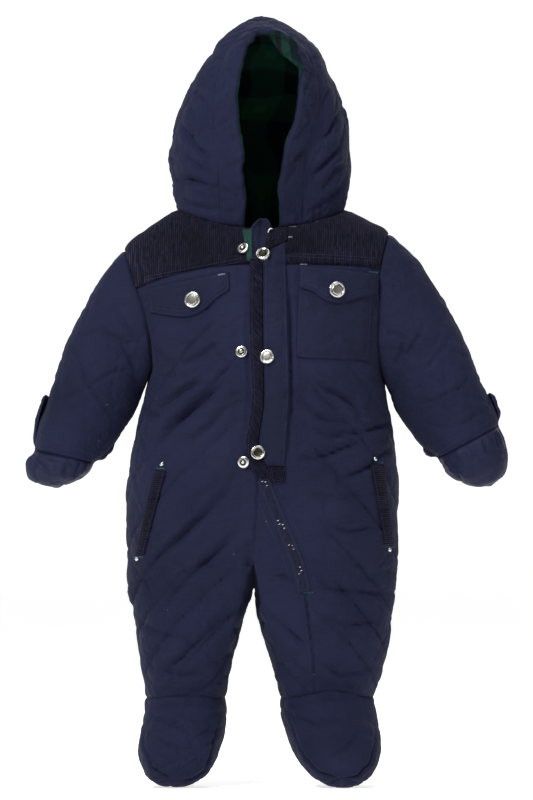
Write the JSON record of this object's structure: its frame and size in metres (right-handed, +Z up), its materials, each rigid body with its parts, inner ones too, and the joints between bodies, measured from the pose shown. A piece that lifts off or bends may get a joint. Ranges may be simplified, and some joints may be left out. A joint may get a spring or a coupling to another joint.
{
  "type": "baby snowsuit",
  "caption": "Padded one-piece snowsuit for a baby, with hood, sewn-on feet and mitts, corduroy yoke and trim, flap pockets and a zip under a snap-fastened storm flap.",
  "frame": {"origin": "the centre of the neck, where the wearer holds the suit", "axes": "+Z up, -Y the way the front faces, +X the wearer's left"},
  "size_m": [0.478, 0.1965, 0.7667],
  "materials": {
    "shell": "matt navy woven shell, padded",
    "corduroy": "fine-wale corduroy",
    "nylon": "smooth nylon with a sheen",
    "tartan": "dark green tartan twill",
    "zip": "woven tape with coil teeth",
    "metal": "bright nickel plate"
  },
  "bodies": {
    "root": {"front_right": "shell", "front_left": "shell", "front_left_inside": "shell", "back_right": "shell", "back_left": "shell", "foot_upper_right": "shell", "foot_upper_left": "shell", "sleeve_right": "shell", "sleeve_left": "shell", "hood_band": "shell", "hood_middle": "shell", "hood_side_right": "shell", "hood_side_left": "shell", "zip_guard": "shell", "chest_pocket": "shell", "storm_flap": "shell", "pocket_flap_right": "shell", "pocket_flap_left": "shell", "yoke_front_right": "corduroy", "yoke_front_left": "corduroy", "yoke_back": "corduroy", "hip_welt_right": "corduroy", "hip_welt_left": "corduroy", "storm_flap_edge": "corduroy", "storm_flap_top": "corduroy", "storm_flap_end": "corduroy", "mitt_right": "nylon", "mitt_left": "nylon", "foot_sole_right": "nylon", "foot_sole_left": "nylon", "hood_lining": "tartan", "neck_facing": "tartan", "zip": "zip", "zip_slider": "metal", "snap_1": "metal", "snap_2": "metal", "snap_3": "metal", "snap_pocket_right": "metal", "snap_pocket_left": "metal", "stud_1": "metal", "stud_2": "metal", "stud_3": "metal", "rivet_right_top": "metal", "rivet_right_end": "metal", "rivet_left_top": "metal", "rivet_left_end": "metal"}
  },
  "joints": []
}
